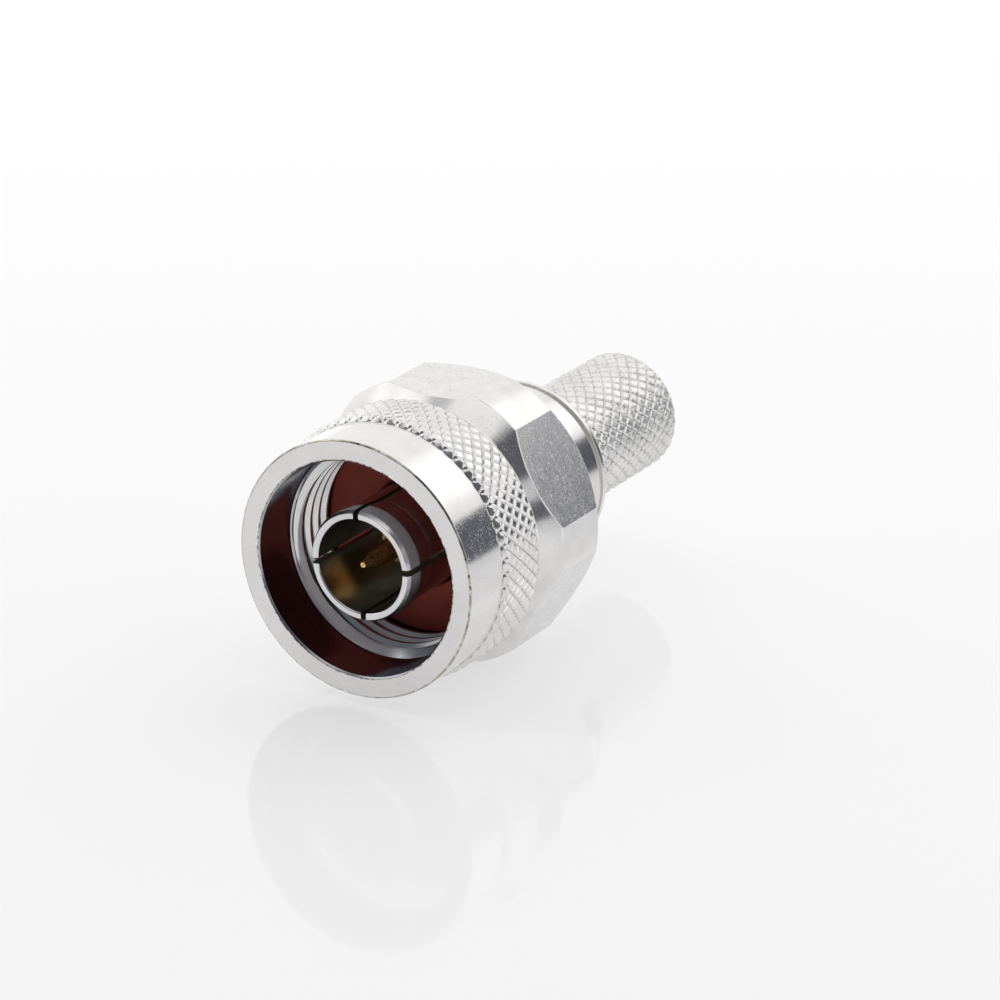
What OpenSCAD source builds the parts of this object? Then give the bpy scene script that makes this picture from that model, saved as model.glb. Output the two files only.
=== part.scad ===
// N type plug, crimp pattern, for a coaxial cable of about 10 mm.
// Eight parts: a free-turning coupling nut on its retaining ring, and the
// shell with its gasket, slotted outer contact, bead, centre contact and
// knurled crimp stem.
// Millimetres. The axis lies along Y with the mating face towards -Y. The
// plug rests on one wrench flat at z = 0, so its axis is half the width
// across flats above the ground. The origin is under the middle of its length.

/* [Coupling nut] */
// Diameter of the smooth band behind the mating face
nut_face_d = 19.4; // [19.0:0.05:19.7]
// Diameter of the plain counterbore in front of the thread
counterbore_d = 16.16; // [16.0:0.02:16.4]
// Depth of the plain counterbore
counterbore_depth = 4.0; // [3.6:0.05:4.2]
// Minor diameter of the 5/8-24 UNEF thread
thread_minor_d = 14.82; // [14.75:0.01:14.98]
// Distance from the mating face to the end of the thread
thread_end = 8.05; // [7.0:0.05:8.1]
// Length of the smooth band
band_length = 4.35; // [4.1:0.05:4.5]
// Distance from the mating face to the rear edge of the knurl
knurl_end = 8.95; // [8.7:0.05:9.0]
// Diameter over the knurl
knurl_d = 20.1; // [19.9:0.02:20.2]
// Width across the wrench flats
across_flats = 20.4; // [20.3:0.02:20.64]
// Diameter over the rounded corners between the flats
corner_d = 21.84; // [21.6:0.02:22.2]
// Start of the corner band behind the mating face
corner_start = 10.85; // [10.8:0.05:11.1]
// End of the corner band behind the mating face
corner_end = 15.8; // [15.5:0.05:16.0]
// Length of the nut
nut_length = 17.8; // [17.7:0.05:18.2]

/* [Connector body] */
// Diameter of the plain collar that carries the nut
collar_d = 13.9; // [13.7:0.02:14.0]
// Diameter of the front flange that carries the gasket
flange_d = 14.6; // [14.3:0.02:14.64]
// Distance from the mating face to the seat of the gasket
seat = 10.3; // [10.2:0.05:10.4]
// Distance from the mating face to the rear end of the collar
collar_end = 23.2; // [22.8:0.1:24.0]
// Radial clearance between the collar and the nut
nut_clearance = 0.08; // [0.04:0.01:0.1]

/* [Retaining ring] */
// Thickness of the ring along the axis
ring_thickness = 0.8; // [0.7:0.02:0.9]
// Axial float of the nut each way from the middle
nut_float = 0.15; // [0.05:0.01:0.2]
// Angle of the gap in the split ring
ring_gap_angle = 26; // [15:1:40]

/* [Gasket] */
// Outer diameter of the face gasket
gasket_d = 15.5; // [15.3:0.02:15.6]
// Thickness of the face gasket
gasket_thickness = 1.6; // [1.4:0.05:1.7]

/* [Contacts] */
// Diameter of the outer contact at its sprung tip
outer_tip_d = 8.36; // [8.2:0.01:8.46]
// Inner diameter of the outer contact
outer_bore_d = 7.06; // [6.96:0.01:7.1]
// Distance from the mating face back to the tip of the outer contact
tip_recess = 0.72; // [0.5:0.02:0.9]
// Width of the slots between the contact fingers
slot_width = 0.45; // [0.35:0.01:0.55]
// Distance from the mating face to the closed ends of the slots
slot_end = 8.5; // [7.5:0.1:8.6]
// Turn of the slots away from upright
slot_turn = -4.2; // [-45:0.1:45]
// Diameter of the centre pin
pin_d = 1.64; // [1.6:0.01:1.68]
// Distance from the contact tip back to the pin shoulder
pin_shoulder = 5.28; // [5.2:0.02:5.36]
// Distance from the contact tip back to the tip of the pin
pin_recess = 0.43; // [0.3:0.01:0.6]
// Diameter of the centre contact behind its shoulder
inner_d = 3.04; // [3.0:0.01:3.1]
// Bore of the solder cup for the cable's centre conductor
cup_d = 2.84; // [2.8:0.01:2.9]

/* [Crimp stem] */
// Diameter over the knurled stem
stem_d = 9.66; // [9.5:0.02:9.8]
// Bore of the stem for the cable's dielectric
stem_bore_d = 7.5; // [7.4:0.02:7.7]
// Distance from the mating face to the rear end of the stem
overall_length = 39.1; // [38.6:0.1:40.5]
// Width of the groove between the collar and the rear lip
lip_groove = 0.4; // [0.3:0.02:0.5]
// Width of the rear lip
lip_width = 0.5; // [0.4:0.05:0.7]

/* [Hidden] */
$fn = 120;
axis_height = across_flats / 2;
mid = overall_length / 2;
nut_bore_r = collar_d / 2 + nut_clearance;
relief_r = gasket_d / 2 + 0.2;
nut_lip = 12.2;
ring_mid = 13.42;
ring_outer_r = collar_d / 2 + 0.5;
ring_inner_r = collar_d / 2 - 0.55;
ring_groove_r = collar_d / 2 - 0.75;
nut_groove_r = collar_d / 2 + 0.7;
cone_start = 9.3;
cone_start_r = 9.68;
tail_start = nut_length - 0.1;
tail_r = corner_d / 2 - 0.72 * (tail_start - corner_end);
lip_start = collar_end + lip_groove;
lip_end = lip_start + lip_width;
tube_r = 4.0;
base_r = 5.2;
base_start = seat + 1.0;
base_end = 14.8;
bead_start = 11.8;
bead_r = 4.4;
neck_r = 1.2;
cup_r = 1.95;
cup_start = 16.8;
cup_end = 22.0;
cavity_r = 4.05;
cavity_end = 22.3;
slot_reach = 6;

// Puts a part that was drawn along +Z, from the mating face up, on the axis.
module placed() {
    translate([0, -mid, axis_height]) rotate([-90, 0, 0]) children();
}

module coupling_nut() {
    color([0.86, 0.86, 0.84]) placed() {
        difference() {
            rotate_extrude() polygon([
                [counterbore_d / 2 + 0.12, 0],
                [nut_face_d / 2 - 0.1, 0],
                [nut_face_d / 2, 0.1],
                [nut_face_d / 2, band_length - 0.05],
                [nut_face_d / 2 - 0.08, band_length],
                [nut_face_d / 2 - 0.05, band_length + 0.05],
                [knurl_d / 2, band_length + 0.35],
                [knurl_d / 2, knurl_end - 0.1],
                [cone_start_r, knurl_end + 0.25],
                [cone_start_r, cone_start],
                [corner_d / 2, corner_start],
                [corner_d / 2, corner_end],
                [tail_r, tail_start],
                [tail_r - 0.1, nut_length],
                [nut_bore_r + 0.2, nut_length],
                [nut_bore_r, nut_length - 0.2],
                [nut_bore_r, ring_mid + ring_thickness / 2 + 0.02],
                [nut_groove_r, ring_mid + ring_thickness / 2 + 0.02],
                [nut_groove_r, ring_mid - ring_thickness / 2 - 0.02],
                [nut_bore_r, ring_mid - ring_thickness / 2 - 0.02],
                [nut_bore_r, nut_lip],
                [relief_r, nut_lip],
                [relief_r, thread_end + 0.35],
                [thread_minor_d / 2, thread_end],
                [thread_minor_d / 2, counterbore_depth + (counterbore_d - thread_minor_d) / 2],
                [counterbore_d / 2, counterbore_depth],
                [counterbore_d / 2, 0.12]
            ]);
            // six wrench flats milled on the round stock
            for (i = [0:5]) rotate([0, 0, i * 60 + 30])
                translate([across_flats / 2, -12, cone_start - 1])
                    cube([8, 24, nut_length]);
        }
    }
}

module retaining_ring() {
    color([0.72, 0.66, 0.5]) placed() {
        difference() {
            translate([0, 0, ring_mid - ring_thickness / 2]) difference() {
                cylinder(r = ring_outer_r, h = ring_thickness);
                translate([0, 0, -1]) cylinder(r = ring_inner_r, h = ring_thickness + 2);
            }
            // gap of the split ring
            translate([0, 0, ring_mid - 2]) linear_extrude(4) polygon([
                [0, 0],
                [12 * cos(90 - ring_gap_angle / 2), 12 * sin(90 - ring_gap_angle / 2)],
                [12 * cos(90 + ring_gap_angle / 2), 12 * sin(90 + ring_gap_angle / 2)]
            ]);
        }
    }
}

module face_gasket() {
    color([0.42, 0.09, 0.07]) placed() {
        rotate_extrude() polygon([
            [tube_r + 0.15, seat],
            [tube_r + 0.15, seat - gasket_thickness + 0.1],
            [tube_r + 0.25, seat - gasket_thickness],
            [gasket_d / 2 - 0.12, seat - gasket_thickness],
            [gasket_d / 2, seat - gasket_thickness + 0.12],
            [gasket_d / 2, seat]
        ]);
    }
}

module connector_body() {
    color([0.84, 0.84, 0.82]) placed() {
        rotate_extrude() polygon([
            [tube_r, seat],
            [flange_d / 2 - 0.1, seat],
            [flange_d / 2, seat + 0.1],
            [flange_d / 2, 11.7],
            [flange_d / 2 - 0.1, 11.8],
            [collar_d / 2, 11.8],
            [collar_d / 2, ring_mid - ring_thickness / 2 - nut_float - 0.01],
            [ring_groove_r, ring_mid - ring_thickness / 2 - nut_float - 0.01],
            [ring_groove_r, ring_mid + ring_thickness / 2 + nut_float + 0.01],
            [collar_d / 2, ring_mid + ring_thickness / 2 + nut_float + 0.01],
            [collar_d / 2, collar_end - 0.12],
            [collar_d / 2 - 0.12, collar_end],
            [base_r, collar_end],
            [base_r, base_start],
            [tube_r, base_start]
        ]);
    }
}

module outer_contact() {
    color([0.8, 0.79, 0.78]) placed() {
        difference() {
            rotate_extrude() polygon([
                [outer_bore_d / 2 + 0.08, tip_recess],
                [outer_tip_d / 2 - 0.2, tip_recess],
                [outer_tip_d / 2, tip_recess + 0.3],
                [outer_tip_d / 2, tip_recess + 1.5],
                [tube_r, tip_recess + 3.2],
                [tube_r, base_start],
                [base_r, base_start],
                [base_r, base_end],
                [bead_r, base_end],
                [bead_r, bead_start],
                [outer_bore_d / 2, bead_start],
                [outer_bore_d / 2, tip_recess + 0.08]
            ]);
            // two sawcuts across the tube make its four fingers
            for (i = [0:1]) rotate([0, 0, slot_turn + i * 90])
                translate([-slot_reach, -slot_width / 2, 0])
                    cube([2 * slot_reach, slot_width, slot_end]);
        }
    }
}

module insulator() {
    color([0.93, 0.93, 0.9]) placed() {
        rotate_extrude() polygon([
            [neck_r, bead_start],
            [bead_r, bead_start],
            [bead_r, base_end],
            [neck_r, base_end]
        ]);
    }
}

module centre_contact() {
    color([0.83, 0.62, 0.25]) placed() {
        rotate_extrude() polygon([
            [0, tip_recess + pin_recess],
            [0.2, tip_recess + pin_recess],
            [pin_d / 2, tip_recess + pin_recess + 2.6],
            [pin_d / 2, tip_recess + pin_shoulder],
            [inner_d / 2 - 0.08, tip_recess + pin_shoulder],
            [inner_d / 2, tip_recess + pin_shoulder + 0.08],
            [inner_d / 2, bead_start],
            [neck_r, bead_start],
            [neck_r, base_end],
            [cup_r, base_end],
            [cup_r, cup_end - 0.15],
            [cup_r - 0.15, cup_end],
            [cup_d / 2, cup_end],
            [cup_d / 2, cup_start],
            [0, cup_start - 0.5]
        ]);
    }
}

module crimp_stem() {
    color([0.82, 0.82, 0.8]) placed() {
        rotate_extrude() polygon([
            [cavity_r, base_end],
            [base_r, base_end],
            [base_r, collar_end],
            [collar_d / 2 - 0.25, collar_end],
            [collar_d / 2 - 0.25, lip_start],
            [collar_d / 2 - 0.06, lip_start],
            [collar_d / 2, lip_start + 0.06],
            [collar_d / 2, lip_end - 0.12],
            [collar_d / 2 - 0.12, lip_end],
            [stem_d / 2 - 0.35, lip_end],
            [stem_d / 2 - 0.35, lip_end + 0.35],
            [stem_d / 2, lip_end + 0.55],
            [stem_d / 2, overall_length - 0.4],
            [stem_d / 2 - 0.35, overall_length],
            [stem_bore_d / 2 + 0.25, overall_length],
            [stem_bore_d / 2, overall_length - 0.25],
            [stem_bore_d / 2, cavity_end + 0.3],
            [cavity_r, cavity_end]
        ]);
    }
}

coupling_nut();
retaining_ring();
face_gasket();
connector_body();
outer_contact();
insulator();
centre_contact();
crimp_stem();
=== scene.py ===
import math
import random

import bmesh
import bpy
import numpy as np
from mathutils import Matrix, Vector


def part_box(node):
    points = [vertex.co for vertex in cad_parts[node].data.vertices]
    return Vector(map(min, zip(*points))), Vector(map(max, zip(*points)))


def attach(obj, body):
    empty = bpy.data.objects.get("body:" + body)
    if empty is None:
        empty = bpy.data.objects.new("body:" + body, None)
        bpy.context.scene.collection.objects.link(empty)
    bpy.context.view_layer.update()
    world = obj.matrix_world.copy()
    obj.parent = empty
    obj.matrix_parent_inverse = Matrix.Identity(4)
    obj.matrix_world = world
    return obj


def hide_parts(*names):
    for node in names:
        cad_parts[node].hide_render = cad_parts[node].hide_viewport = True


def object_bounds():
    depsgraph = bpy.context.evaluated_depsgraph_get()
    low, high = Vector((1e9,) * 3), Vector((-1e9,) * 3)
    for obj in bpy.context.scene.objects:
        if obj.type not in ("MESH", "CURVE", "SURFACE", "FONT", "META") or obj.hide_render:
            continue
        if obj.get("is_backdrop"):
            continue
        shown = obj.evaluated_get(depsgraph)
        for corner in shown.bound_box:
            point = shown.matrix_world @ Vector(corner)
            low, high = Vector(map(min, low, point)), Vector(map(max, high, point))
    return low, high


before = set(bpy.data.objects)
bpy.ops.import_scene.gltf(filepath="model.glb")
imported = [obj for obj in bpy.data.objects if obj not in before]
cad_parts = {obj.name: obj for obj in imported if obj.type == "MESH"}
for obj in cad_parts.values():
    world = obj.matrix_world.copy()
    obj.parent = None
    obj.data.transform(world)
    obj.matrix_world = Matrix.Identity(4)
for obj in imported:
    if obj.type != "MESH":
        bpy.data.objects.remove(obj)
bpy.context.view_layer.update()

# ---------------------------------------------------------------- sizes, mm
# t is the distance behind the mating face, r the distance from the axis and
# phi the angle from straight up towards +X. The axis lies along Y.
MM = 0.001
NUT_LO, NUT_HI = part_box("coupling_nut")
STEM_LO, STEM_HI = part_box("crimp_stem")
FACE_Y = NUT_LO.y / MM                    # the mating face
AXIS_Z = (NUT_LO.z + NUT_HI.z) / 2 / MM   # height of the axis
FLAT = (NUT_HI.z - NUT_LO.z) / 2 / MM     # half the width across flats
CORNER = 10.92                            # radius over the rounded corners
BODY_NUT, BODY_SHELL, BODY_RING = "nut", "shell", "ring"


def place(r, phi, t):
    """Points in metres from cylinder coordinates in mm and degrees."""
    a = np.radians(phi)
    r, a, t = np.broadcast_arrays(np.asarray(r, float), a, np.asarray(t, float))
    return np.stack([r * np.sin(a), t + FACE_Y, AXIS_Z + r * np.cos(a)], -1) * MM


# ---------------------------------------------------------------- mesh tools
class Build:
    """Collects grids and faces of one piece, then makes its mesh."""

    def __init__(self):
        self.v, self.f, self.m, self.n = [], [], [], 0

    def points(self, p):
        p = np.asarray(p, float).reshape(-1, 3)
        self.v.append(p)
        first = self.n
        self.n += len(p)
        return first

    def grid(self, p, mat=0, wrap=True):
        """p[row, col]: rows run along the profile, columns run round the axis."""
        rows, cols = p.shape[:2]
        first = self.points(p)
        idx = first + np.arange(rows * cols).reshape(rows, cols)
        nxt = np.roll(idx, -1, axis=1) if wrap else idx[:, 1:]
        cur = idx if wrap else idx[:, :-1]
        q = np.stack([cur[:-1], nxt[:-1], nxt[1:], cur[1:]], -1).reshape(-1, 4)
        self.f.append(q)
        k = nxt.shape[1]
        m = np.broadcast_to(np.asarray(mat), (rows - 1,)) if np.ndim(mat) < 2 else None
        m = np.repeat(m, k) if m is not None else np.asarray(mat).reshape(-1)
        self.m.append(m)
        return idx

    def polys(self, faces, mat=0):
        """Faces of any size, as lists of point numbers."""
        self.f.append([list(x) for x in faces])
        self.m.append(np.full(len(faces), mat))

    def make(self, name, mats, sharp=42.0):
        v = np.vstack(self.v)
        faces = []
        for part in self.f:
            faces.extend(part.tolist() if isinstance(part, np.ndarray) else part)
        mesh = bpy.data.meshes.new(name)
        mesh.from_pydata(v.tolist(), [], faces)
        mesh.polygons.foreach_set("material_index", np.concatenate(self.m).astype(np.int32))
        for m in mats:
            mesh.materials.append(m)
        mesh.polygons.foreach_set("use_smooth", np.ones(len(mesh.polygons), bool))
        mesh.update()
        mesh.validate()
        if sharp:
            mesh.set_sharp_from_angle(angle=math.radians(sharp))
        ob = bpy.data.objects.new(name, mesh)
        bpy.context.scene.collection.objects.link(ob)
        return ob


def rounded(pts, keep=0.03, steps=4, closed=False):
    """A profile with its corners rounded and its straight runs held flat.
    pts are (r, t, corner radius, material). Gives r, t and a material a segment."""
    n = len(pts)
    out, mats = [], []
    P = [np.array(p[:2], float) for p in pts]
    for i in range(n):
        rad = pts[i][2]
        mat = pts[i][3]
        inner = closed or 0 < i < n - 1
        if not inner or rad <= 0:
            out.append((P[i], mat))
            continue
        a, b = P[i - 1] - P[i], P[(i + 1) % n] - P[i]
        la, lb = np.linalg.norm(a), np.linalg.norm(b)
        a, b = a / la, b / lb
        cos = float(np.clip(a @ b, -1, 1))
        half = math.acos(cos) / 2
        if half > math.radians(88):
            out.append((P[i], mat))
            continue
        cut = min(rad / math.tan(half), 0.45 * la, 0.45 * lb)
        rr = cut * math.tan(half)
        c = P[i] + (a + b) / np.linalg.norm(a + b) * (rr / math.sin(half))
        s, e = P[i] + a * cut - c, P[i] + b * cut - c
        a0, a1 = math.atan2(s[1], s[0]), math.atan2(e[1], e[0])
        d = (a1 - a0 + math.pi) % (2 * math.pi) - math.pi
        for k in range(steps + 1):
            ang = a0 + d * k / steps
            out.append((c + rr * np.array([math.cos(ang), math.sin(ang)]), mat))
    pr, pm = [], []
    m = len(out)
    for i in range(m if closed else m - 1):
        p, q = out[i][0], out[(i + 1) % m][0]
        pr.append(p)
        pm.append(out[i][1])
        L = np.linalg.norm(q - p)
        if L > 4 * keep:
            pr.append(p + (q - p) * keep / L)
            pm.append(out[i][1])
            pr.append(q - (q - p) * keep / L)
            pm.append(out[i][1])
    if not closed:
        pr.append(out[-1][0])
        pm.append(out[-1][1])
    else:
        pr.append(pr[0])
        pm.append(pm[0])
    pr = np.array(pr)
    return pr[:, 0], pr[:, 1], np.array(pm[:-1])


def lathe(b, pts, cols, keep=0.03, steps=4, closed=False):
    r, t, m = rounded(pts, keep, steps, closed)
    b.grid(place(r[:, None], np.asarray(cols)[None, :], t[:, None]), m)


def smoothstep(x):
    x = np.clip(x, 0, 1)
    return x * x * (3 - 2 * x)


def value_noise(seed):
    """A smooth repeatable noise of one or two numbers, about -1 to 1."""
    rng = np.random.default_rng(seed)
    table = rng.uniform(-1, 1, (256, 256))

    def at(u, v):
        iu, iv = np.floor(u).astype(int), np.floor(v).astype(int)
        fu, fv = smoothstep(u - iu), smoothstep(v - iv)
        g = lambda a, c: table[a % 256, c % 256]
        return (g(iu, iv) * (1 - fu) * (1 - fv) + g(iu + 1, iv) * fu * (1 - fv)
                + g(iu, iv + 1) * (1 - fu) * fv + g(iu + 1, iv + 1) * fu * fv)

    return at


def knurl_mesh(n, pitch, phi0, t0, t_lo, t_hi, cuts, offsets, radius):
    """A sheet of a diamond knurl whose edges follow its grooves. n grooves of
    each hand cross round the axis, tops sit at whole numbers of a and b, and
    phi = phi0 + 180 (a + b) / n, t = t0 + pitch (a - b) / 2. The sheet is cut
    square at t_lo and t_hi, and scored at the cuts."""
    m = len(offsets)
    d_lo = int(math.floor((2 * (t_lo - t0) / pitch - 1.5) * m))
    d_hi = int(math.ceil((2 * (t_hi - t0) / pitch + 1.5) * m))
    ks = np.arange(d_lo, d_hi + 1)
    ibs = np.arange(n * m)
    off = np.array(offsets)
    val = lambda i: np.floor_divide(i, m) + off[np.mod(i, m)]
    ib = ibs[:, None]
    ia = ib + ks[None, :]
    a, bb = val(ia), val(np.broadcast_to(ib, ia.shape))
    phi = phi0 + 180.0 * (a + bb) / n
    t = t0 + pitch * (a - bb) / 2
    pts = place(radius, phi, t).reshape(-1, 3)
    K = len(ks)
    vid = lambda i, k: (i % (n * m)) * K + k
    i, k = np.meshgrid(ibs, np.arange(1, K - 1), indexing="ij")
    i, k = i.ravel(), k.ravel()
    # corners (ia, ib), (ia+1, ib), (ia+1, ib+1), (ia, ib+1)
    quads = np.stack([vid(i, k), vid(i, k + 1), vid(i + 1, k), vid(i + 1, k - 1)], -1)
    tt = t.reshape(-1)[quads]
    quads = quads[(tt.max(1) > t_lo - 0.01) & (tt.min(1) < t_hi + 0.01)]
    used = np.unique(quads)
    remap = -np.ones(len(pts), int)
    remap[used] = np.arange(len(used))
    mesh = bpy.data.meshes.new("tmp")
    mesh.from_pydata(pts[used].tolist(), [], remap[quads].tolist())
    bm = bmesh.new()
    bm.from_mesh(mesh)
    bpy.data.meshes.remove(mesh)
    for c, clear in [(t_lo, -1), (t_hi, 1)] + [(x, 0) for x in cuts]:
        bmesh.ops.bisect_plane(
            bm, geom=bm.verts[:] + bm.edges[:] + bm.faces[:], dist=1e-8,
            plane_co=(0, (c + FACE_Y) * MM, 0), plane_no=(0, 1, 0),
            clear_inner=clear < 0, clear_outer=clear > 0)
    bm.verts.index_update()
    co = np.array([v.co[:] for v in bm.verts]) / MM
    faces = [[v.index for v in f.verts] for f in bm.faces]
    bm.free()
    phi = np.degrees(np.arctan2(co[:, 0], co[:, 2] - AXIS_Z))
    return phi, co[:, 1] - FACE_Y, faces


def groove(phi, t, n, pitch, phi0, t0, w):
    """How deep in a groove a point is, from 0 on a top to 1 at the bottom."""
    s, d = (phi - phi0) * n / 180.0, 2 * (t - t0) / pitch
    a, b = (s + d) / 2, (s - d) / 2
    ga = np.clip(1 - np.abs(a - np.floor(a) - 0.5) / w, 0, 1)
    gb = np.clip(1 - np.abs(b - np.floor(b) - 0.5) / w, 0, 1)
    return ga, gb, a, b


# ---------------------------------------------------------------- materials
class Net:
    """Short names for the nodes of one material."""

    def __init__(self, name):
        self.mat = bpy.data.materials.new(name)
        self.mat.use_nodes = True
        self.t = self.mat.node_tree
        self.t.nodes.clear()
        self.out = self.t.nodes.new("ShaderNodeOutputMaterial")
        self.bsdf = self.t.nodes.new("ShaderNodeBsdfPrincipled")
        self.t.links.new(self.bsdf.outputs[0], self.out.inputs[0])
        tc = self.t.nodes.new("ShaderNodeTexCoord")
        self.obj = tc.outputs["Object"]
        sep = self.t.nodes.new("ShaderNodeSeparateXYZ")
        self.t.links.new(self.obj, sep.inputs[0])
        self.x, self.y = sep.outputs[0], sep.outputs[1]
        self.z = self.m("SUBTRACT", sep.outputs[2], AXIS_Z * MM)
        self.r = self.m("SQRT", self.m("ADD", self.m("MULTIPLY", self.x, self.x),
                                       self.m("MULTIPLY", self.z, self.z)))
        self.nx, self.nz = self.m("DIVIDE", self.x, self.r), self.m("DIVIDE", self.z, self.r)
        self.tt = self.m("SUBTRACT", self.y, FACE_Y * MM)    # distance behind the mating face, m

    def put(self, sock, v):
        if isinstance(v, bpy.types.NodeSocket):
            self.t.links.new(v, sock)
        elif v is not None:
            if isinstance(v, (tuple, list)) and len(v) == 3 and len(sock.default_value) == 4:
                v = tuple(v) + (1.0,)
            sock.default_value = v

    def set(self, **kw):
        names = {"base": "Base Color", "rough": "Roughness", "metal": "Metallic", "ior": "IOR",
                 "normal": "Normal", "spec": "Specular IOR Level", "coat": "Coat Weight",
                 "coat_rough": "Coat Roughness", "sheen": "Sheen Weight",
                 "aniso": "Anisotropic", "tangent": "Tangent", "sss": "Subsurface Weight",
                 "sss_scale": "Subsurface Scale", "sss_radius": "Subsurface Radius"}
        for k, v in kw.items():
            s = self.bsdf.inputs[names[k]]
            if k == "sss_radius":
                s.default_value = v
            else:
                self.put(s, v)

    def m(self, op, a, b=None, c=None, clamp=False):
        n = self.t.nodes.new("ShaderNodeMath")
        n.operation = op
        n.use_clamp = clamp
        for i, v in enumerate((a, b, c)):
            if v is not None:
                self.put(n.inputs[i], v)
        return n.outputs[0]

    def vec(self, x, y, z):
        n = self.t.nodes.new("ShaderNodeCombineXYZ")
        for i, v in enumerate((x, y, z)):
            self.put(n.inputs[i], v)
        return n.outputs[0]

    def noise(self, vec, scale, detail=2.0, rough=0.5, distort=0.0):
        n = self.t.nodes.new("ShaderNodeTexNoise")
        self.put(n.inputs["Vector"], vec)
        n.inputs["Scale"].default_value = scale
        n.inputs["Detail"].default_value = detail
        n.inputs["Roughness"].default_value = rough
        n.inputs["Distortion"].default_value = distort
        return n.outputs[0]

    def voronoi(self, vec, scale, feature="F1"):
        n = self.t.nodes.new("ShaderNodeTexVoronoi")
        n.feature = feature
        self.put(n.inputs["Vector"], vec)
        n.inputs["Scale"].default_value = scale
        return n.outputs["Distance"]

    def span(self, v, lo, hi, a=0.0, b=1.0, smooth=True):
        n = self.t.nodes.new("ShaderNodeMapRange")
        n.interpolation_type = "SMOOTHSTEP" if smooth else "LINEAR"
        n.clamp = True
        for i, x in enumerate((v, lo, hi, a, b)):
            self.put(n.inputs[i], x)
        return n.outputs[0]

    def mix(self, fac, a, b):
        n = self.t.nodes.new("ShaderNodeMix")
        n.data_type = "RGBA"
        self.put(n.inputs[0], fac)
        self.put(n.inputs[6], a)
        self.put(n.inputs[7], b)
        return n.outputs[2]

    def bump(self, height, dist, strength=1.0, normal=None):
        n = self.t.nodes.new("ShaderNodeBump")
        n.inputs["Strength"].default_value = strength
        n.inputs["Distance"].default_value = dist
        self.put(n.inputs["Height"], height)
        if normal is not None:
            self.put(n.inputs["Normal"], normal)
        return n.outputs[0]

    def around(self, k, K):
        """Coordinates for marks that run round the axis, K a metre across them."""
        s = self.m("ADD", self.tt, self.r)
        return self.vec(self.m("MULTIPLY", self.nx, k), self.m("MULTIPLY", s, K),
                        self.m("MULTIPLY", self.nz, k))


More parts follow.
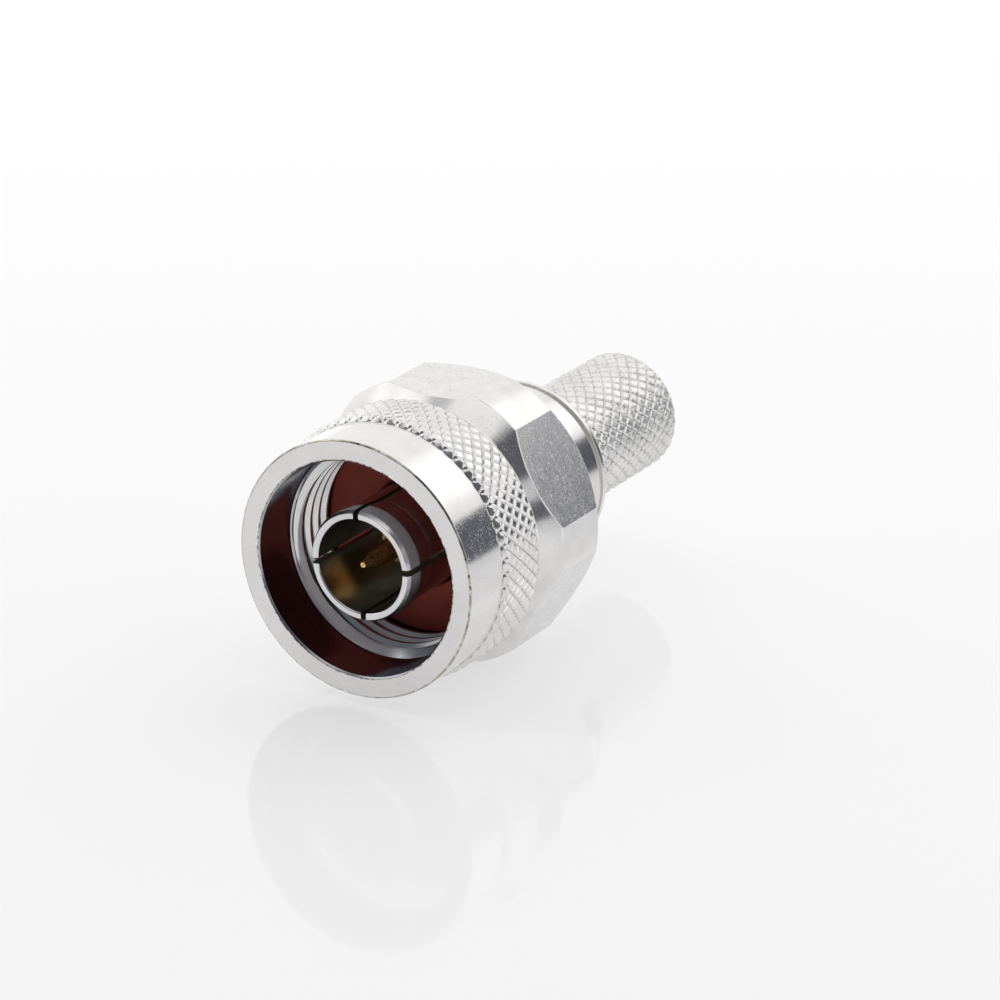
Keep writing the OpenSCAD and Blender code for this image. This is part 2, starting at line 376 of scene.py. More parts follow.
def plated(name, base=(0.79, 0.778, 0.768), rough=(0.16, 0.30), turn=1.0, grain=1.0,
           dist=2.0e-6, mottle=0.05, edge=False, anis=0.0, groove_shade=None, speck=0.0, finger_shade=None):
    """Bright plating on turned brass: fine rings from the tool, plating grain, a slow change of tone,
    on the rim a worn, stained edge, and painted shade in knurl grooves and on contact fingers."""
    g = Net(name)
    rings = g.noise(g.around(2.2, 9000.0), 1.0, 3.0, 0.6)
    fine = g.noise(g.around(7.0, 24000.0), 1.0, 2.0, 0.5)
    grit = g.noise(g.obj, 11000.0, 3.0, 0.6)
    slow = g.noise(g.obj, 420.0, 3.0, 0.55)
    both = g.m("ADD", g.m("MULTIPLY", rings, 0.5), g.m("MULTIPLY", grit, 0.5))
    rg = g.span(both, 0.30, 0.70, rough[0], rough[1], smooth=False)
    dark = tuple(c * (1 - 2.2 * mottle) for c in base)
    col = g.mix(g.span(slow, 0.35, 0.72), base, dark)
    pits = g.span(g.voronoi(g.obj, 2600.0), 0.05, 0.10, 1.0, 0.0)
    keep = g.span(g.noise(g.obj, 900.0, 1.0), 0.56, 0.64)
    pits = g.m("MULTIPLY", pits, keep)
    col = g.mix(g.m("MULTIPLY", pits, 0.35), col, (0.42, 0.40, 0.37))
    if edge:
        # the outer and inner corners of the front rim: broken plating, dirt
        front = g.span(g.tt, 0.00006, 0.00016, 1.0, 0.0)
        outer = g.m("MULTIPLY", g.span(g.r, 0.009535, 0.00958), front)
        frontin = g.span(g.tt, 0.0001, 0.00022, 1.0, 0.0)
        inner = g.m("MULTIPLY", g.span(g.r, 0.00823, 0.00830, 1.0, 0.0), frontin)
        broken = g.span(g.noise(g.obj, 1500.0, 3.0, 0.7), 0.36, 0.58, 0.30, 1.0)
        dash = g.m("MULTIPLY", g.span(g.noise(g.obj, 2300.0, 2.0, 0.7), 0.50, 0.57), inner)
        chip = g.m("MULTIPLY", g.span(g.noise(g.obj, 2600.0, 2.0, 0.7), 0.60, 0.66), outer)
        stain = g.noise(g.obj, 260.0, 1.0)
        wear_col = g.mix(g.span(stain, 0.40, 0.62), (0.20, 0.19, 0.17), (0.42, 0.36, 0.22))
        col = g.mix(g.m("MULTIPLY", g.m("MULTIPLY", outer, broken), 0.85), col, wear_col)
        low = g.span(g.noise(g.obj, 210.0, 1.0), 0.42, 0.60)
        col = g.mix(g.m("MULTIPLY", g.m("MULTIPLY", inner, low), 0.7), col, (0.50, 0.44, 0.28))
        col = g.mix(g.m("MULTIPLY", g.m("MAXIMUM", dash, chip), 0.85), col, (0.05, 0.048, 0.045))
    if groove_shade:
        # painted shade: the bottoms of the knurl grooves are darkened towards grey
        shade_mask = g.m("MULTIPLY", g.span(g.r, groove_shade[0], groove_shade[1], 1.0, 0.0),
                   g.m("MULTIPLY", g.span(g.tt, groove_shade[2], groove_shade[2] + 0.0001),
                       g.span(g.tt, groove_shade[3] - 0.0001, groove_shade[3], 1.0, 0.0)))
        col = g.mix(g.m("MULTIPLY", shade_mask, groove_shade[4]), col, (0.22, 0.22, 0.23))
    if finger_shade:
        # painted shade: the outside of the contact fingers behind the tip is darkened to a mauve grey
        out = g.m("MULTIPLY", g.span(g.tt, 0.00095, 0.00108), g.span(g.r, 0.0037, 0.0038))
        col = g.mix(out, col, finger_shade)
    if speck:
        dots = g.m("MULTIPLY", g.span(g.noise(g.obj, 8200.0, 4.0, 0.75), 0.53, 0.64),
                   g.span(g.noise(g.obj, 1300.0, 1.0), 0.34, 0.56))
        rg = g.m("ADD", rg, g.m("MULTIPLY", dots, speck), clamp=True)
    h = g.m("ADD", g.m("MULTIPLY", rings, turn),
            g.m("ADD", g.m("MULTIPLY", fine, 0.35 * turn), g.m("MULTIPLY", grit, 0.35 * grain)))
    n = g.bump(h, dist)
    g.set(base=col, rough=rg, metal=1.0, normal=n)
    if anis:
        tg = g.t.nodes.new("ShaderNodeTangent")
        tg.direction_type, tg.axis = "RADIAL", "Y"
        g.set(aniso=anis, tangent=tg.outputs[0])
    return g.mat


def milled(name, base=(0.785, 0.778, 0.775)):
    """Wrench flats: cutter marks across the axis, and random small scratches."""
    g = Net(name)
    cut = g.noise(g.vec(g.m("MULTIPLY", g.nx, 5.0), g.m("MULTIPLY", g.tt, 16000.0),
                        g.m("MULTIPLY", g.nz, 5.0)), 1.0, 3.0, 0.65)
    grit = g.noise(g.obj, 9000.0, 4.0, 0.65)
    slow = g.noise(g.obj, 600.0, 2.0)
    rough = g.span(g.m("ADD", g.m("MULTIPLY", cut, 0.5), g.m("MULTIPLY", grit, 0.5)),
                   0.3, 0.7, 0.20, 0.34, smooth=False)
    # short curled scratches, thin lines of a warped noise kept in patches
    warp = g.noise(g.obj, 1500.0, 2.0, 0.6, 1.5)
    line = g.span(g.m("ABSOLUTE", g.m("SUBTRACT", warp, 0.5)), 0.004, 0.026, 1.0, 0.0)
    patch = g.span(g.noise(g.obj, 2000.0, 1.0), 0.55, 0.64)
    dots = g.span(g.noise(g.obj, 8000.0, 3.0, 0.7), 0.59, 0.67)
    scr = g.m("MAXIMUM", g.m("MULTIPLY", line, patch), g.m("MULTIPLY", dots, 0.7))
    h = g.m("ADD", g.m("ADD", g.m("MULTIPLY", cut, 1.2), g.m("MULTIPLY", grit, 0.8)),
            g.m("MULTIPLY", scr, -2.5))
    col = g.mix(g.span(slow, 0.35, 0.7), base, tuple(c * 0.93 for c in base))
    rough = g.m("ADD", rough, g.m("MULTIPLY", scr, 0.55), clamp=True)
    g.set(base=col, rough=rough, metal=1.0, normal=g.bump(h, 2.4e-6))
    return g.mat


def gold(name):
    g = Net(name)
    rings = g.noise(g.around(3.0, 14000.0), 1.0, 3.0, 0.6)
    grit = g.noise(g.obj, 12000.0, 2.0)
    slow = g.noise(g.obj, 700.0, 2.0)
    col = g.mix(g.span(slow, 0.3, 0.7), (0.97, 0.66, 0.32), (0.90, 0.57, 0.25))
    g.set(base=col, rough=g.span(grit, 0.3, 0.7, 0.18, 0.34), metal=1.0,
          normal=g.bump(g.m("ADD", rings, g.m("MULTIPLY", grit, 0.3)), 0.25e-6))
    return g.mat


def silicone(name):
    """Moulded red rubber: soft grain, a few pale dust specks, faint parting ring."""
    g = Net(name)
    grain = g.noise(g.obj, 7000.0, 4.0, 0.65)
    slow = g.noise(g.obj, 380.0, 3.0)
    rings = g.noise(g.around(2.0, 5000.0), 1.0, 2.0)
    col = g.mix(g.span(slow, 0.3, 0.7), (0.60, 0.125, 0.088), (0.50, 0.102, 0.074))
    dust = g.span(g.voronoi(g.obj, 1500.0), 0.03, 0.07, 1.0, 0.0)
    some = g.span(g.noise(g.obj, 800.0, 1.0), 0.55, 0.62)
    col = g.mix(g.m("MULTIPLY", g.m("MULTIPLY", dust, some), 0.35), col, (0.50, 0.33, 0.28))
    h = g.m("ADD", grain, g.m("MULTIPLY", rings, 0.6))
    g.set(base=col, rough=g.span(grain, 0.3, 0.7, 0.66, 0.82), spec=0.35, metal=0.0,
          normal=g.bump(h, 5.0e-6))
    return g.mat


def plastic(name):
    g = Net(name)
    grain = g.noise(g.obj, 5000.0, 3.0)
    slow = g.noise(g.obj, 500.0, 2.0)
    rings = g.noise(g.around(2.0, 9000.0), 1.0, 2.0)
    col = g.mix(g.span(slow, 0.3, 0.7), (0.80, 0.79, 0.75), (0.72, 0.71, 0.66))
    g.set(base=col, rough=g.span(grain, 0.3, 0.7, 0.35, 0.5), metal=0.0,
          normal=g.bump(g.m("ADD", rings, grain), 3.0e-6))
    return g.mat


def bronze(name):
    g = Net(name)
    grit = g.noise(g.obj, 9000.0, 3.0)
    slow = g.noise(g.obj, 600.0, 2.0)
    rings = g.noise(g.around(2.0, 12000.0), 1.0, 2.0)
    col = g.mix(g.span(slow, 0.3, 0.7), (0.58, 0.42, 0.24), (0.46, 0.32, 0.18))
    g.set(base=col, rough=g.span(grit, 0.3, 0.7, 0.28, 0.42), metal=1.0,
          normal=g.bump(g.m("ADD", rings, grit), 2.0e-6))
    return g.mat


M_BAND = plated("plated_turned", rough=(0.09, 0.20), edge=True, speck=0.26, mottle=0.025)
# painted shade darkens the bottoms of the nut's knurl grooves
M_KNURL = plated("plated_knurl", rough=(0.10, 0.20), turn=0.15, grain=1.6, speck=0.12, groove_shade=(0.009940, 0.009968, 0.0048, 0.0089, 0.25))
M_FLAT = milled("plated_milled")
M_CONE = plated("plated_cone", rough=(0.07, 0.17), turn=1.6, speck=0.22)
# painted shade: the inside of the nut is the same plating, darkened and made bluer
M_INNER_SHADED = plated("plated_inside_shaded", base=(0.44, 0.455, 0.50), rough=(0.10, 0.22), turn=0.7)
M_THREAD = plated("plated_thread", base=(0.77, 0.765, 0.76), rough=(0.12, 0.24), turn=0.8)
M_BODY = plated("plated_body", rough=(0.12, 0.24), turn=1.0)
M_LIP = plated("plated_lip", base=(0.80, 0.785, 0.74), rough=(0.16, 0.28), turn=0.8)
# painted light: the narrow groove behind the collar gets a paler base than the plating, to lift it out of
# its shade
M_GROOVE_LIT = plated("plated_groove_lightened", base=(0.90, 0.885, 0.83), rough=(0.42, 0.56), turn=1.0)
# painted shade darkens the bottoms of the stem's knurl grooves
M_STEM = plated("plated_stem", base=(0.80, 0.79, 0.775), rough=(0.14, 0.30), turn=0.3, grain=7.0, speck=0.2,
                dist=9.0e-6, mottle=0.07, groove_shade=(0.00469, 0.00475, 0.0246, 0.0391, 0.30))
# painted shade on the outside of the contact fingers
M_TUBE = plated("plated_contact", base=(0.77, 0.76, 0.755), rough=(0.14, 0.26), turn=0.9,
                finger_shade=(0.34, 0.315, 0.325))
# painted shade: the saw-cut walls between the fingers are the same plating, painted near black
M_SLOT_SHADED = plated("plated_sawcut_shaded", base=(0.20, 0.19, 0.18), rough=(0.35, 0.5), turn=0.5)
M_TUBE_IN = plated("plated_contact_bore", base=(0.56, 0.545, 0.49), rough=(0.16, 0.28), turn=0.8)
M_GOLD = gold("gold_plating")
M_RUBBER = silicone("red_rubber")
M_BEAD = plastic("white_bead_plastic")
M_RING = bronze("ring_bronze")

# ---------------------------------------------------------------- coupling nut
CONE_T, CONE_R = 9.3, 9.68
CORNER_T0, CORNER_T1 = 10.85, 15.8
NUT_END = (NUT_HI.y - NUT_LO.y) / MM
CONE_K = (CORNER - CONE_R) / (CORNER_T0 - CONE_T)
TAIL_K = 0.72
W = math.degrees(math.acos(FLAT / CORNER))      # half the angle of a flat

e = 0.24
in_flat = [-W, -W + e] + list(np.linspace(-W + e, W - e, 16)[1:-1]) + [W - e, W]
in_corner = [W + e] + list(np.linspace(W + e, 60 - W - e, 9)[1:-1]) + [60 - W - e]
NUT_COLS, FLAT_COL = [], []
for k in range(6):
    NUT_COLS += [k * 60 + d for d in in_flat + in_corner]
    FLAT_COL += [True] * (len(in_flat) - 1) + [False] * (len(in_corner) + 1)
NUT_COLS = np.array(NUT_COLS)
FLAT_COL = np.array(FLAT_COL)

nut = Build()
BAND, KNURL, FLATM, CONE, INNER, THREAD = range(6)

# inside chamfer, counterbore, front rim, band, and the notch before the knurl
lathe(nut, [
    (8.08, 4.004, 0, INNER), (8.08, 0.13, 0.06, INNER),
    (8.20, 0.0, 0.035, BAND), (9.60, 0.0, 0.05, BAND), (9.70, 0.11, 0.05, BAND),
    (9.70, 4.36, 0.02, BAND), (9.66, 4.41, 0.01, KNURL), (9.64, 4.50, 0, KNURL),
    (9.40, 4.52, 0, KNURL)], NUT_COLS)

# knurl: two crossing sets of 60 grooves with flat tops left between them
N1, P1, PHI1, T1, W1, D1 = 60, 1.187, 58.7, 8.65, 0.21, 0.115
off1 = [0.0, 0.5 - W1 - 0.035, 0.5 - W1 + 0.02, 0.5 - 0.035, 0.5, 0.5 + 0.035,
        0.5 + W1 - 0.02, 0.5 + W1 + 0.035]
phi, t, faces = knurl_mesh(N1, P1, PHI1, T1, 4.36, 9.16, [4.46, 4.56, 4.66, 4.74, 4.80, 8.80, 8.92, 9.06],
                           off1, 10.05)
ga, gb, ca, cb = groove(phi, t, N1, P1, PHI1, T1, W1)
wob = value_noise(11)
depth = D1 * (1 + 0.16 * wob(phi / 7 + 40, t * 2.0))
cut = np.maximum(ga, gb)
top = np.minimum(10.05, 9.76 + (t - 4.40) * 1.0)
top = np.minimum(top, 10.05 - 0.36 * smoothstep((t - 8.82) / 0.36))
top += np.random.default_rng(3).uniform(-0.004, 0.0, top.shape)
r = top - depth * np.clip(cut * 1.06 - 0.03, 0, 1)
r -= 0.003 * smoothstep(np.abs(wob(ca * 1.7 + 9, cb * 1.7 + 5)))
r = np.maximum(r, np.minimum(9.64 + (t - 4.36) * 0.5, 9.64))
first = nut.points(place(r, phi, t))
nut.polys([[first + i for i in f] for f in faces], KNURL)

# notch behind the knurl, cone, six flats and rounded corners, rear chamfer
delta = (NUT_COLS + 30) % 60 - 30
rf = np.where(np.abs(delta) <= W + 1e-6, FLAT / np.cos(np.radians(delta)), CORNER)
ta = CONE_T + (rf - CONE_R) / CONE_K
tb = CORNER_T1 + (CORNER - rf) / TAIL_K
rows_r, rows_t, rows_m = [], [], []


def row(rr, tt, mat):
    rows_r.append(np.broadcast_to(rr, NUT_COLS.shape))
    rows_t.append(np.broadcast_to(tt, NUT_COLS.shape))
    rows_m.append(mat)


row(9.45, 9.06, KNURL)
row(9.66, 9.10, CONE)
row(9.665, 9.18, CONE)
row(CONE_R, 9.22, CONE)
row(CONE_R, 9.27, CONE)
for s in (0.03, 0.08, 0.5):
    tt = CONE_T + (ta - CONE_T) * s
    row(CONE_R + CONE_K * (tt - CONE_T), tt, CONE)
for back in (0.09, 0.03):
    row(CONE_R + CONE_K * (ta - back - CONE_T), ta - back, CONE)
row(rf, ta + 0.025, FLATM)
for s in (0.08, 0.12, 0.5, 0.88, 0.92):
    pass
row(rf, ta + 0.08, FLATM)
row(rf, (ta + tb) / 2, FLATM)
row(rf, tb - 0.08, FLATM)
row(rf, tb - 0.025, FLATM)
for fwd in (0.03, 0.09):
    row(CORNER - TAIL_K * (tb + fwd - CORNER_T1), tb + fwd, CONE)
tail_r = CORNER - TAIL_K * (NUT_END - 0.1 - CORNER_T1)
row((CORNER - TAIL_K * (tb - CORNER_T1) + tail_r) / 2, (tb + NUT_END - 0.1) / 2, CONE)
row(tail_r + 0.036, NUT_END - 0.15, CONE)
row(tail_r, NUT_END - 0.09, CONE)
row(tail_r - 0.04, NUT_END - 0.03, CONE)
row(tail_r - 0.10, NUT_END, CONE)
row(tail_r - 0.16, NUT_END, CONE)
row(7.30, NUT_END, CONE)
row(7.23, NUT_END, CONE)
row(7.13, NUT_END - 0.06, INNER)
row(7.04, NUT_END - 0.16, INNER)
row(7.03, NUT_END - 0.24, INNER)
row(7.03, 13.9, INNER)
row(7.03, 13.84, INNER)
row(7.65, 13.84, INNER)
row(7.65, 13.00, INNER)
row(7.03, 13.00, INNER)
row(7.03, 12.94, INNER)
row(7.03, 12.26, INNER)
row(7.03, 12.20, INNER)
row(7.09, 12.20, INNER)
row(7.89, 12.20, INNER)
row(7.95, 12.14, INNER)
row(7.95, 12.05, INNER)
row(7.95, 8.46, INNER)
row(7.95, 8.40, INNER)
row(7.93, 8.34, INNER)
pts = place(np.array(rows_r), NUT_COLS[None, :], np.array(rows_t))
rm = np.array(rows_m)[:-1]
mat2 = np.repeat(rm[:, None], len(NUT_COLS), axis=1)
is_flat_row = np.array(rows_m)[:-1] == FLATM
mat2[np.ix_(is_flat_row, ~FLAT_COL)] = CONE
nut.grid(pts, mat2)

# thread: 24 turns an inch, right hand, run out into the chamfer and the relief
PITCH = 25.4 / 24
TURNS, STEP = 6, 1.5
u = np.array([-0.5, -0.44, -0.43, -0.40, -0.35, -0.30, -0.25, -0.20, -0.16, -0.135, -0.125, -0.115,
              -0.08, -0.03, 0.03, 0.08, 0.115, 0.125, 0.135, 0.16, 0.20, 0.25, 0.30, 0.35, 0.40,
              0.43, 0.44, 0.5])
theta = np.arange(0, 360 * TURNS + STEP / 2, STEP)
root = np.clip((np.abs(u) - 0.125) / (0.4375 - 0.125), 0, 1)[:, None]
tt = 4.72 - 1.5 * PITCH + PITCH * (theta[None, :] / 360.0 + u[:, None])
rt = 7.41 + 0.53 * root
rt = np.maximum(rt, 8.08 - (tt - 4.0))
rt = np.maximum(rt, 7.41 + np.clip((tt - 8.05) / 0.30, 0, 1.1) * 0.54)
rt = np.clip(rt, 7.41, 8.40)
tt = np.maximum(tt, 3.72)
nut.grid(place(rt[::-1], (theta - 80.0 - 180.0)[None, :], tt[::-1]), THREAD, wrap=False)

nut_ob = nut.make("coupling_nut_detail", [M_BAND, M_KNURL, M_FLAT, M_CONE, M_INNER_SHADED, M_THREAD])
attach(nut_ob, BODY_NUT)
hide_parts("coupling_nut")

# ---------------------------------------------------------------- connector body
COLS = np.arange(0, 360, 2.0)
body = Build()
lathe(body, [
    (4.00, 10.30, 0.03, 0), (7.20, 10.30, 0.03, 0), (7.30, 10.40, 0.03, 0),
    (7.30, 11.70, 0.03, 0), (7.20, 11.80, 0.03, 0), (6.95, 11.80, 0.03, 0),
    (6.95, 12.86, 0.02, 0), (6.20, 12.86, 0.05, 0), (6.20, 13.98, 0.05, 0),
    (6.95, 13.98, 0.03, 0), (6.95, 23.08, 0.05, 0), (6.83, 23.20, 0.05, 0),
    (5.20, 23.20, 0.02, 0), (5.20, 11.30, 0.02, 0), (4.00, 11.30, 0.02, 0)],
    COLS, closed=True)
body_ob = body.make("connector_body_detail", [M_BODY])
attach(body_ob, BODY_SHELL)
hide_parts("connector_body")

# ---------------------------------------------------------------- crimp stem
stem = Build()
STEM_END = (STEM_HI.y / MM) - FACE_Y
lathe(stem, [
    (4.00, 24.70, 0, 0), (4.60, 24.66, 0, 0), (4.62, 24.50, 0.05, 0), (4.48, 24.30, 0.05, 0),
    (4.48, 24.12, 0.03, 1), (6.83, 24.10, 0.03, 1), (6.95, 23.98, 0.05, 1),
    (6.95, 23.65, 0.03, 1), (6.90, 23.60, 0.03, 2), (6.70, 23.60, 0.03, 2),
    (6.70, 23.20, 0.02, 2), (5.20, 23.20, 0.02, 1), (5.20, 14.80, 0.02, 1),
    (4.05, 14.80, 0.02, 1), (4.05, 22.30, 0.03, 1), (3.75, 22.60, 0.05, 1),
    (3.75, STEM_END - 0.25, 0.05, 1), (4.00, STEM_END, 0.06, 1), (4.42, STEM_END, 0.10, 0),
    (4.46, STEM_END - 0.06, 0, 0), (4.20, STEM_END - 0.30, 0, 0)][::-1], COLS)

N2, P2, PHI2, T2, W2, D2 = 30, 1.34, 60.6, 28.93, 0.20, 0.12
off2 = [0.0, 0.12, 0.5 - W2 - 0.03, 0.5 - W2 + 0.03, 0.5 - 0.03, 0.5 + 0.03,
        0.5 + W2 - 0.03, 0.5 + W2 + 0.03, 0.88]
phi, t, faces = knurl_mesh(N2, P2, PHI2, T2, 24.50, STEM_END - 0.02,
                           [24.62, 24.74, 24.86, STEM_END - 0.14, STEM_END - 0.30, STEM_END - 0.48],
                           off2, 4.83)
wob, wob2 = value_noise(23), value_noise(57)
w = W2 * (1 + 0.30 * wob(phi / 5 + 60, t * 2.2 + 12))
ga, gb, ca, cb = groove(phi, t, N2, P2, PHI2, T2, w)
lump = wob(ca * 2.3 + 31, cb * 2.3 + 17)
tooth = wob2(np.floor(ca + 0.5) * 3.1 + 11, np.floor(cb + 0.5) * 2.3 + 7)
depth = D2 * (1 + 0.18 * wob(phi / 9 + 3, t * 1.3))
cut = np.maximum(ga, gb)
r = 4.83 - depth * smoothstep(cut * 0.9 + 0.02 * (cut > 0)) - 0.045 * (0.5 + 0.5 * lump)
r -= 0.020 * (1 - cut) * (0.5 + 0.5 * tooth)
r += np.random.default_rng(7).uniform(-0.022, 0.006, r.shape)
r = np.minimum(r, 4.50 + (t - 24.50) * 1.3)
r = np.minimum(r, 4.83 - 0.36 * np.clip((t - (STEM_END - 0.46)) / 0.46, 0, 1) ** 2)
first = stem.points(place(r, phi, t))
stem.polys([[first + i for i in f] for f in faces], 0)
stem_ob = stem.make("crimp_stem_detail", [M_STEM, M_LIP, M_GROOVE_LIT])
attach(stem_ob, BODY_SHELL)
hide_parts("crimp_stem")

# ---------------------------------------------------------------- gasket
gasket = Build()
lathe(gasket, [
    (4.15, 10.30, 0.0, 0), (4.15, 8.80, 0.08, 0), (4.25, 8.70, 0.08, 0),
    (5.90, 8.715, 0.0, 0), (7.63, 8.70, 0.10, 0), (7.75, 8.82, 0.08, 0), (7.75, 10.30, 0.0, 0)],
    COLS, closed=True)
gasket_ob = gasket.make("face_gasket_detail", [M_RUBBER])
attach(gasket_ob, BODY_SHELL)
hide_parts("face_gasket")

# ---------------------------------------------------------------- outer contact
contact = Build()
SLOT, SLOT_END, TURN = 0.225, 8.5, -4.2
prof = [(3.53, SLOT_END, 0, 1), (3.53, 0.80, 0.03, 0), (3.61, 0.72, 0.03, 0), (3.98, 0.72, 0.04, 0),
        (4.18, 1.02, 0.06, 0), (4.18, 2.22, 0.3, 0), (4.00, 3.92, 0.3, 0), (4.00, SLOT_END, 0, 0)]
pr, pt, pm = rounded(prof)
sup = 0.012
share = np.array([0, sup] + list(np.linspace(sup, 1 - sup, 26)[1:-1]) + [1 - sup, 1])
for q in range(4):
    lo = TURN + q * 90 + np.degrees(np.arcsin(SLOT / pr))
    hi = TURN + (q + 1) * 90 - np.degrees(np.arcsin(SLOT / pr))
    ang = lo[:, None] + (hi - lo)[:, None] * share[None, :]
    idx = contact.grid(place(pr[:, None], ang, pt[:, None]), pm, wrap=False)
    # the saw-cut walls take the painted-shade material
    contact.polys([list(idx[:, 0])], 2)
    contact.polys([list(idx[::-1, -1])], 2)
lathe(contact, [
    (3.53, SLOT_END, 0.0, 0), (4.00, SLOT_END, 0.0, 0), (4.00, 11.30, 0.02, 0),
    (5.20, 11.30, 0.02, 0), (5.20, 14.80, 0.02, 0), (4.40, 14.80, 0.02, 0),
    (4.40, 11.80, 0.02, 0), (3.53, 11.80, 0.02, 1)], COLS, closed=True)
contact_ob = contact.make("outer_contact_detail", [M_TUBE, M_TUBE_IN, M_SLOT_SHADED])
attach(contact_ob, BODY_SHELL)
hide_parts("outer_contact")

# ---------------------------------------------------------------- centre contact
pin = Build()
PC = np.arange(0, 360, 5.0)
lathe(pin, [
    (0.004, 1.21, 0, 0), (0.06, 1.19, 0.02, 0), (0.09, 1.15, 0.01, 0), (0.20, 1.15, 0.05, 0),
    (0.82, 3.75, 0.5, 0), (0.82, 6.00, 0.02, 0), (1.44, 6.00, 0.02, 0), (1.52, 6.08, 0.03, 0),
    (1.52, 11.80, 0.02, 0), (1.20, 11.80, 0.02, 0), (1.20, 14.80, 0.02, 0), (1.95, 14.80, 0.05, 0),
    (1.95, 21.85, 0.05, 0), (1.80, 22.00, 0.05, 0), (1.42, 22.00, 0.05, 0), (1.42, 16.80, 0.05, 0),
    (0.004, 16.30, 0, 0)], PC, keep=0.015)
pin_ob = pin.make("centre_contact_detail", [M_GOLD])
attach(pin_ob, BODY_SHELL)
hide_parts("centre_contact")

# the two hidden pieces keep their CAD shape
for node, mat in (("insulator", M_BEAD), ("retaining_ring", M_RING)):
    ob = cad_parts[node]
    ob.data.materials.clear()
    ob.data.materials.append(mat)

# ---------------------------------------------------------------- floor
fl = Net("floor_gloss_white")
for n in list(fl.t.nodes):
    if n not in (fl.out, fl.bsdf):
        fl.t.nodes.remove(n)
fl.set(base=(0.46, 0.46, 0.463), rough=0.07, metal=0.0, spec=0.20)
fl.bsdf.inputs["Emission Color"].default_value = (1.0, 1.0, 1.005, 1)
fl.bsdf.inputs["Emission Strength"].default_value = 0.51
mesh = bpy.data.meshes.new("floor")
S = 3.0
mesh.from_pydata([(-S, -S, -0.00002), (S, -S, -0.00002), (S, S, -0.00002), (-S, S, -0.00002)],
                 [], [(0, 1, 2, 3)])
mesh.materials.append(fl.mat)
floor = bpy.data.objects.new("floor", mesh)
bpy.context.scene.collection.objects.link(floor)
floor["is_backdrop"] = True


# ---------------------------------------------------------------- studio
def card(name, centre, normal, up, w, h, value):
    """A grey card that only reflections see."""
    n = Vector(normal).normalized()
    x = Vector(up).cross(n).normalized()
    y = n.cross(x)
    c = Vector(centre)
    m = bpy.data.meshes.new(name)
    m.from_pydata([c - x * w / 2 - y * h / 2, c + x * w / 2 - y * h / 2,
                   c + x * w / 2 + y * h / 2, c - x * w / 2 + y * h / 2], [], [(0, 1, 2, 3)])
    mt = bpy.data.materials.new(name)
    mt.use_nodes = True
    t = mt.node_tree
    t.nodes.clear()
    em = t.nodes.new("ShaderNodeEmission")
    em.inputs[0].default_value = (value * 0.9, value * 0.97, value * 1.22, 1)
    em.inputs[1].default_value = 1.0
    o = t.nodes.new("ShaderNodeOutputMaterial")
    t.links.new(em.outputs[0], o.inputs[0])
    m.materials.append(mt)
    ob = bpy.data.objects.new(name, m)
    bpy.context.scene.collection.objects.link(ob)
    ob.visible_camera = False
    ob.visible_diffuse = False
    ob.visible_shadow = False
    ob.visible_transmission = False
    ob.visible_volume_scatter = False
    ob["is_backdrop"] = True
    return ob


def towards(d, dist, name, w, h, value):
    d = Vector(d).normalized()
    c = Vector((0, 0, 0.010)) + d * dist
    return card(name, c, -d, (0, 0, 1) if abs(d.z) < 0.9 else (0, 1, 0), w, h, value)


# low dark flag to the right and behind
card("flag_low", (0.068, 0.088, 0.025), (-0.58, -0.80, 0.0), (0, 0, 1), 0.062, 0.050, 0.10)

world = bpy.data.worlds.new("studio")
bpy.context.scene.world = world
world.use_nodes = True
wt = world.node_tree
wt.nodes.clear()
bg = wt.nodes.new("ShaderNodeBackground")
wo = wt.nodes.new("ShaderNodeOutputWorld")
wt.links.new(bg.outputs[0], wo.inputs[0])
tc = wt.nodes.new("ShaderNodeTexCoord")
ray = wt.nodes.new("ShaderNodeVectorMath")
ray.operation = "NORMALIZE"
wt.links.new(tc.outputs["Generated"], ray.inputs[0])


def wnode(op, a, b=None, c=None):
    n = wt.nodes.new("ShaderNodeMath")
    n.operation = op
    for i, v in enumerate((a, b, c)):
        if isinstance(v, bpy.types.NodeSocket):
            wt.links.new(v, n.inputs[i])
        elif v is not None:
            n.inputs[i].default_value = v
    return n.outputs[0]


def ramp(v, lo, hi, a=0.0, b=1.0):
    m = wt.nodes.new("ShaderNodeMapRange")
    m.interpolation_type = "SMOOTHSTEP"
    wt.links.new(v, m.inputs[0])
    for i, x in enumerate((lo, hi, a, b)):
        m.inputs[1 + i].default_value = x
    return m.outputs[0]


def blend(fac, a, b):
    x = wt.nodes.new("ShaderNodeMix")
    x.data_type = "FLOAT"
    wt.links.new(fac, x.inputs[0])
    for i, v in ((2, a), (3, b)):
        if isinstance(v, bpy.types.NodeSocket):
            wt.links.new(v, x.inputs[i])
        else:
            x.inputs[i].default_value = v
    return x.outputs[0]


def lobe(level, az, el, inner, outer, value):
    """Sets the sky to a value round one direction, in degrees."""
    a, h = math.radians(az), math.radians(el)
    d = wt.nodes.new("ShaderNodeVectorMath")
    d.operation = "DOT_PRODUCT"
    wt.links.new(ray.outputs[0], d.inputs[0])
    d.inputs[1].default_value = (math.cos(h) * math.sin(a), math.cos(h) * math.cos(a), math.sin(h))
    return blend(ramp(d.outputs["Value"], math.cos(math.radians(outer)),
                      math.cos(math.radians(inner))), level, value)


sep = wt.nodes.new("ShaderNodeSeparateXYZ")
wt.links.new(ray.outputs[0], sep.inputs[0])
rx, ry, rz = sep.outputs
elev = wnode("MULTIPLY", wnode("ARCSINE", rz), 180 / math.pi)


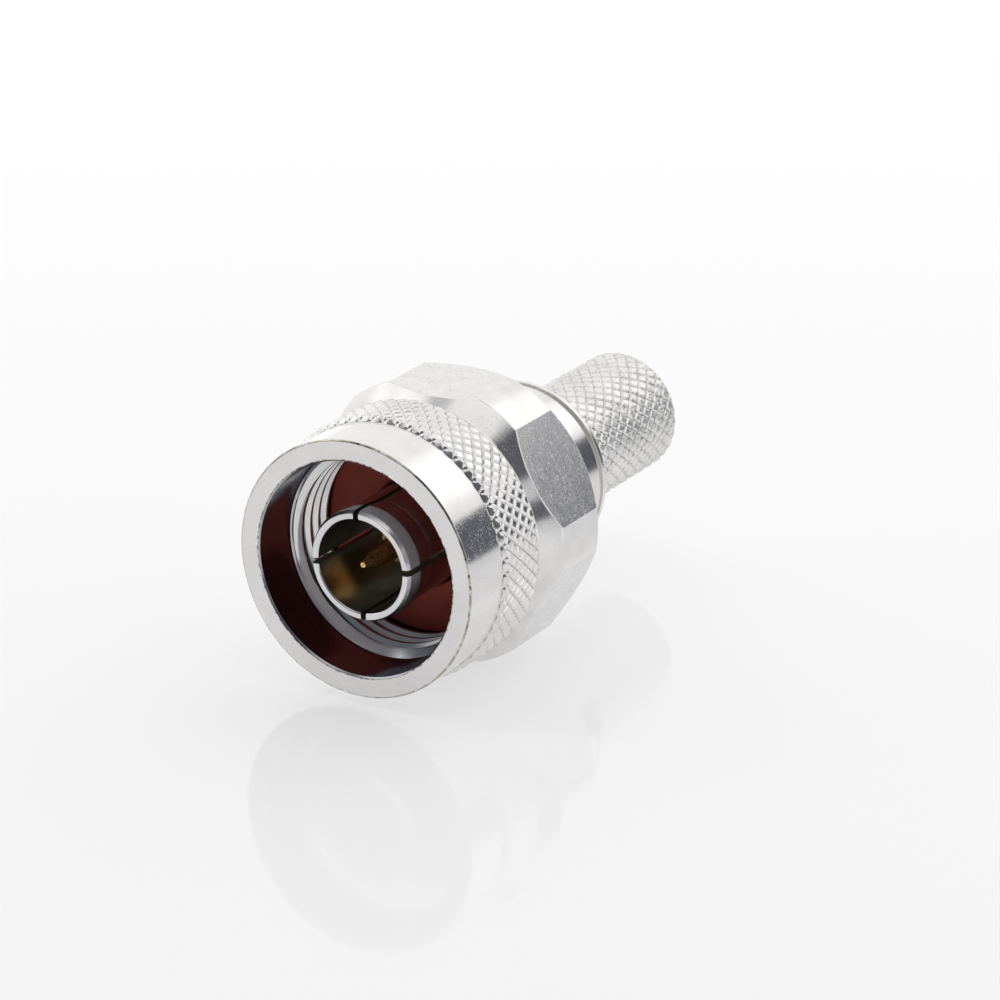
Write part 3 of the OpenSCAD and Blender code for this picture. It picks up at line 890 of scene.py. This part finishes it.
def side(level, az, half, soft, top, top_soft, value):
    """Sets the sky to a value over a range of compass angles, up to a height."""
    a = math.radians(az)
    u = wnode("ADD", wnode("MULTIPLY", rx, math.sin(a)), wnode("MULTIPLY", ry, math.cos(a)))
    v = wnode("SUBTRACT", wnode("MULTIPLY", rx, math.cos(a)), wnode("MULTIPLY", ry, math.sin(a)))
    off = wnode("MULTIPLY", wnode("ABSOLUTE", wnode("ARCTAN2", v, u)), 180 / math.pi)
    m = wnode("MULTIPLY", ramp(off, half - soft, half + soft, 1.0, 0.0),
              ramp(elev, top - top_soft, top + top_soft, 1.0, 0.0))
    return blend(m, level, value)


sky = 1.06
sky = side(sky, 88, 24, 14, 44, 10, 0.92)          # dim towards the right
sky = side(sky, 171, 70, 9, 58, 4, 0.12)           # the dark room behind the camera
for spot in (
        (15, 33, 9, 18, 1.42),       # the softbox at the back
        (-92, 40, 12, 22, 1.30),     # the softbox at the left
        (-122, 66, 4, 10, 0.60),     # gaps between the overhead boxes
        (5, 78, 7, 13, 0.35),
        (116, 20, 5, 10, 0.72)):     # a pale patch low on the right
    sky = lobe(sky, *spot)
tone = wt.nodes.new("ShaderNodeCombineColor")
for k, power in enumerate((1.0, 0.985, 0.92)):     # the dark parts are a little blue
    wt.links.new(wnode("POWER", sky, power), tone.inputs[k])
wt.links.new(tone.outputs[0], bg.inputs[0])
bg.inputs[1].default_value = 1.0

# ---------------------------------------------------------------- camera
cam_data = bpy.data.cameras.new("camera")
cam_data.lens = 144.0
cam_data.sensor_width = 36.0
cam_data.shift_x, cam_data.shift_y = -0.0005, -0.0095
cam_data.clip_start, cam_data.clip_end = 0.01, 20.0
cam = bpy.data.objects.new("camera", cam_data)
right = Vector((0.85841, 0.51295, 0.0)).normalized()
fwd = Vector((-0.4792, 0.80195, -0.3567)).normalized()
up = right.cross(fwd).normalized()
cam.matrix_world = Matrix((
    (right.x, up.x, -fwd.x, 0.14360),
    (right.y, up.y, -fwd.y, -0.23963),
    (right.z, up.z, -fwd.z, 0.11651),
    (0, 0, 0, 1)))
bpy.context.scene.collection.objects.link(cam)
bpy.context.scene.camera = cam
bpy.context.scene.view_settings.view_transform = "Standard"
bpy.context.scene.view_settings.look = "None"
bpy.context.scene.view_settings.exposure = 0.0

lo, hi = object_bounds()
